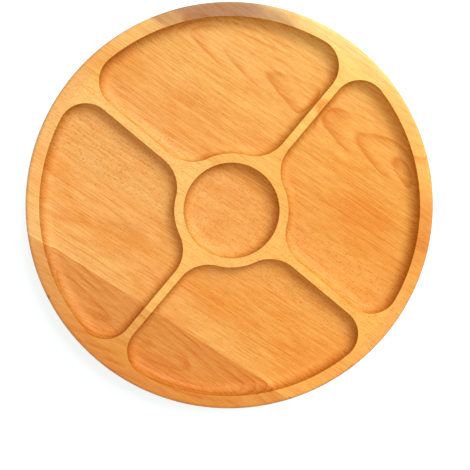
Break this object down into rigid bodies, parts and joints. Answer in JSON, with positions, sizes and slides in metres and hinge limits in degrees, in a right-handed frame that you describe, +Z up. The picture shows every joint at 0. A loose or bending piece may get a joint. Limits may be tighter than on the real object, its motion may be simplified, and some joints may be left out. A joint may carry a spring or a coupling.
{
  "type": "lazy susan turntable",
  "caption": "Round wooden lazy susan: a carved tray with wedge-shaped pockets and a middle cup spins on a ring bearing over a smaller round base.",
  "frame": {"origin": "on the spin axis at the level of the table, the underside of the feet", "axes": "+Z up along the spin axis; +X and +Y run out through the middles of two neighbouring pockets, with the tray at rest"},
  "size_m": [0.4, 0.4, 0.0438],
  "materials": {
    "tray_wood": "oiled edge-glued beech",
    "base_wood": "oiled edge-glued beech",
    "ring_metal": "turned and tumbled",
    "ball_steel": "polished",
    "cage_nylon": "moulded natural nylon",
    "screw_steel": "zinc plated",
    "foot_pad": "matt, non-slip"
  },
  "bodies": {
    "base": {"base_board": "base_wood", "bearing_outer_ring": "ring_metal", "base_screw_1": "screw_steel", "base_screw_2": "screw_steel", "base_screw_3": "screw_steel", "base_screw_4": "screw_steel", "foot_1": "foot_pad", "foot_2": "foot_pad", "foot_3": "foot_pad"},
    "ball_set": {"ball_cage": "cage_nylon", "ball_01": "ball_steel", "ball_02": "ball_steel", "ball_03": "ball_steel", "ball_04": "ball_steel", "ball_05": "ball_steel", "ball_06": "ball_steel", "ball_07": "ball_steel", "ball_08": "ball_steel", "ball_09": "ball_steel", "ball_10": "ball_steel", "ball_11": "ball_steel", "ball_12": "ball_steel", "ball_13": "ball_steel", "ball_14": "ball_steel", "ball_15": "ball_steel", "ball_16": "ball_steel", "ball_17": "ball_steel", "ball_18": "ball_steel", "ball_19": "ball_steel", "ball_20": "ball_steel", "ball_21": "ball_steel", "ball_22": "ball_steel", "ball_23": "ball_steel", "ball_24": "ball_steel"},
    "tray": {"serving_tray": "tray_wood", "bearing_inner_ring": "ring_metal", "tray_screw_1": "screw_steel", "tray_screw_2": "screw_steel", "tray_screw_3": "screw_steel", "tray_screw_4": "screw_steel"}
  },
  "joints": [
    {"name": "tray_spin", "type": "hinge", "parent": "base", "child": "tray", "pos_m": [0, 0, 0.02025], "axis": [0, 0, 1], "continuous": true},
    {"name": "ball_set_spin", "type": "hinge", "parent": "base", "child": "ball_set", "pos_m": [0, 0, 0.02025], "axis": [0, 0, 1], "continuous": true}
  ],
  "couplings": [
    {"joint": "ball_set_spin", "follows": "tray_spin", "ratio": 0.478}
  ]
}
